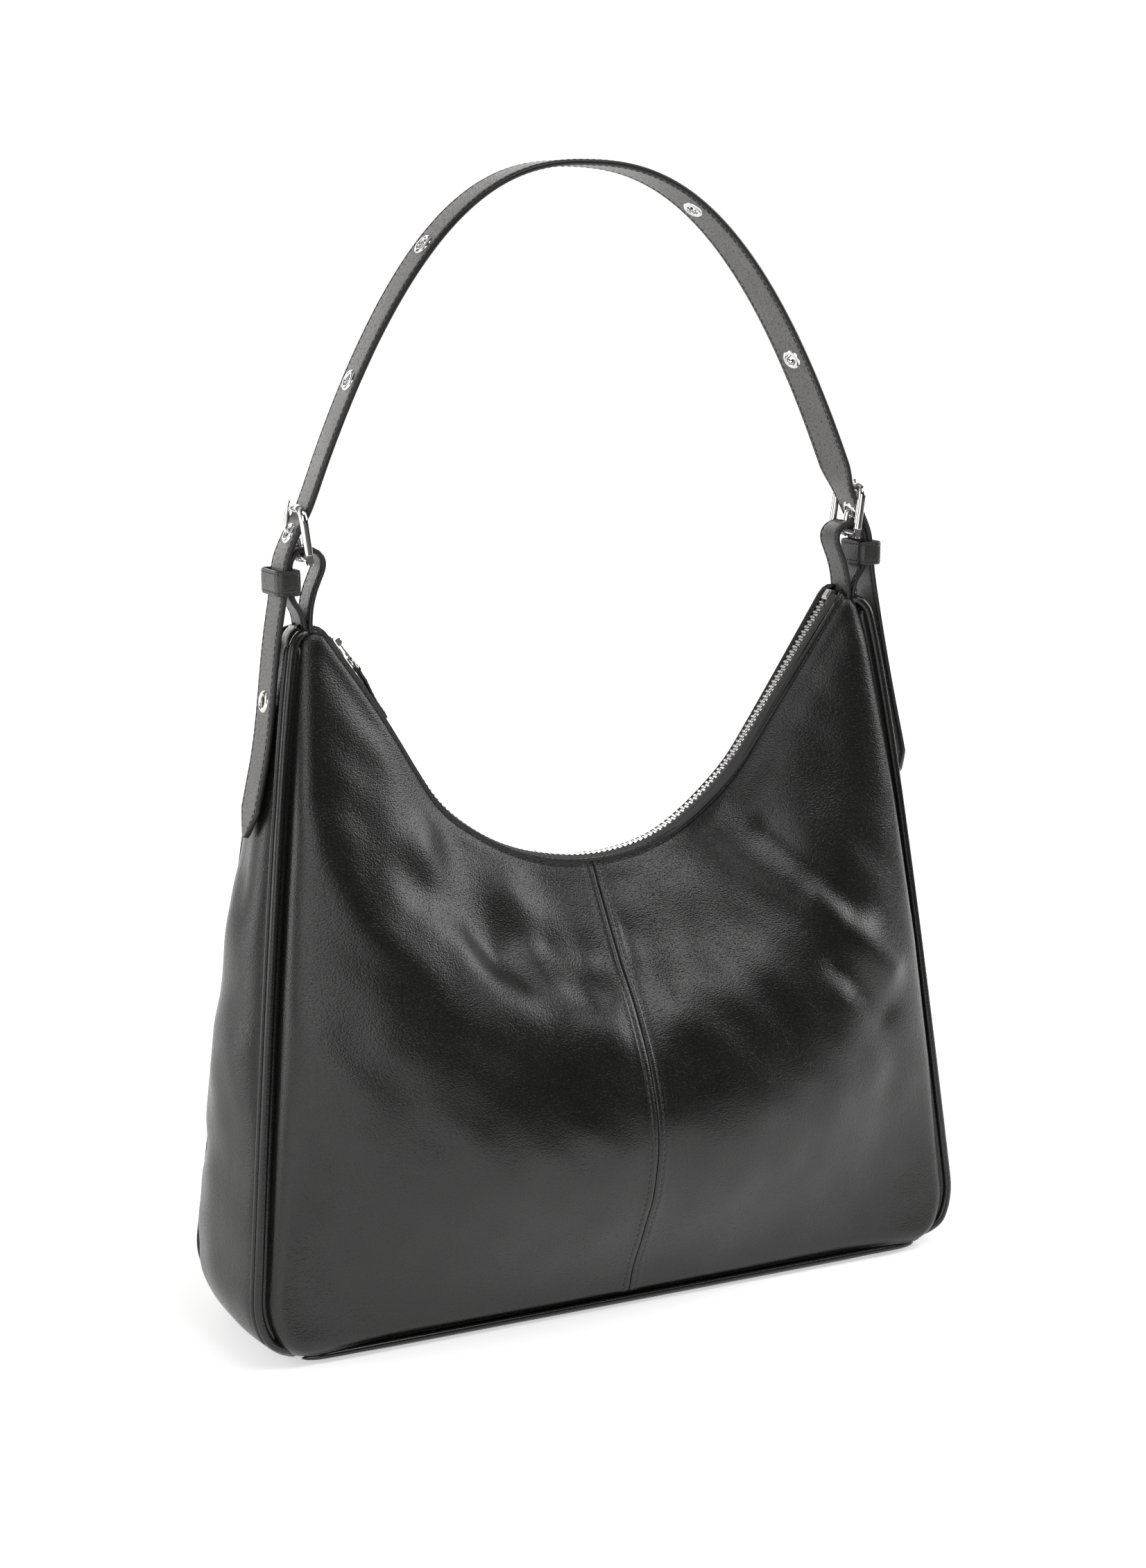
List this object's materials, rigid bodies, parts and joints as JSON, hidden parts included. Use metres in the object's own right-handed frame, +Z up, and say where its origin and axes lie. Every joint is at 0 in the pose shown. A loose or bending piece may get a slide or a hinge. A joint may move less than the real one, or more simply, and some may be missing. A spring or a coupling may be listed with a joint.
{
  "type": "hobo bag",
  "caption": "Black leather hobo shoulder bag with a deep scooped zip opening, tapering side gussets and one strap held by a buckle at each peak.",
  "frame": {"origin": "on the floor under the middle of the bag, at the bottom centre of its bounding box", "axes": "+X to the right of the front, +Y to the back, +Z up; the front panel faces -Y and the closed zip's slider is at the -X end"},
  "size_m": [0.4022, 0.167, 0.5603],
  "materials": {
    "body_leather": "fine pebbled grain, satin",
    "strap_leather": "fine grain, satin, painted edges, topstitched",
    "piping_leather": "smooth rolled edge, satin",
    "lining_fabric": "plain woven lining",
    "zip_tape": "herringbone woven tape",
    "nickel": "polished nickel plate",
    "board": "pressed fibre board"
  },
  "bodies": {
    "bag": {"front_panel_left": "body_leather", "front_panel_right": "body_leather", "back_panel_left": "body_leather", "back_panel_right": "body_leather", "gusset_left": "body_leather", "gusset_right": "body_leather", "base_panel": "body_leather", "base_board": "board", "piping_front_left": "piping_leather", "piping_front_right": "piping_leather", "piping_back_left": "piping_leather", "piping_back_right": "piping_leather", "piping_base_front": "piping_leather", "piping_base_back": "piping_leather", "lining_front": "lining_fabric", "lining_back": "lining_fabric", "lining_base": "lining_fabric", "inner_pocket": "lining_fabric", "zip_tape_front": "zip_tape", "zip_tape_back": "zip_tape", "zip_teeth_front": "nickel", "zip_teeth_back": "nickel", "zip_box_stop": "nickel", "zip_top_stops": "nickel", "tab_root_left": "strap_leather", "tab_root_right": "strap_leather"},
    "handle": {"strap": "strap_leather", "eyelets": "nickel", "tab_left": "strap_leather", "tab_right": "strap_leather"},
    "buckle_left": {"buckle_left": "nickel"},
    "buckle_right": {"buckle_right": "nickel"},
    "prong_left": {"prong_left": "nickel"},
    "prong_right": {"prong_right": "nickel"},
    "keeper_left": {"keeper_left": "strap_leather"},
    "keeper_right": {"keeper_right": "strap_leather"},
    "zip_slider": {"zip_slider": "nickel"},
    "zip_pull": {"zip_pull": "nickel", "zip_pull_tab": "strap_leather"}
  },
  "joints": [
    {"name": "handle_swing", "type": "hinge", "parent": "bag", "child": "handle", "pos_m": [0, 0, 0.3585], "axis": [1, 0, 0], "range_deg": [-90, 90]},
    {"name": "buckle_left_rock", "type": "hinge", "parent": "handle", "child": "buckle_left", "pos_m": [-0.1465, 0, 0.379], "axis": [0, -1, 0], "range_deg": [-2, 2]},
    {"name": "prong_left_lift", "type": "hinge", "parent": "buckle_left", "child": "prong_left", "pos_m": [-0.1465, 0, 0.379], "axis": [0, -1, 0], "range_deg": [0, 5]},
    {"name": "keeper_left_slide", "type": "slide", "parent": "handle", "child": "keeper_left", "axis": [0, 0, 1], "range_m": [-0.0012, 0.0012]},
    {"name": "buckle_right_rock", "type": "hinge", "parent": "handle", "child": "buckle_right", "pos_m": [0.1465, 0, 0.379], "axis": [0, 1, 0], "range_deg": [-2, 2]},
    {"name": "prong_right_lift", "type": "hinge", "parent": "buckle_right", "child": "prong_right", "pos_m": [0.1465, 0, 0.379], "axis": [0, 1, 0], "range_deg": [0, 5]},
    {"name": "keeper_right_slide", "type": "slide", "parent": "handle", "child": "keeper_right", "axis": [0, 0, 1], "range_m": [-0.0012, 0.0012]},
    {"name": "zip_slide", "type": "slide", "parent": "bag", "child": "zip_slider", "axis": [0.5664, 0, -0.8241], "range_m": [0, 0.045]},
    {"name": "zip_pull_lift", "type": "hinge", "parent": "zip_slider", "child": "zip_pull", "pos_m": [-0.1295, 0, 0.33795], "axis": [0, -1, 0], "range_deg": [0, 135]}
  ]
}
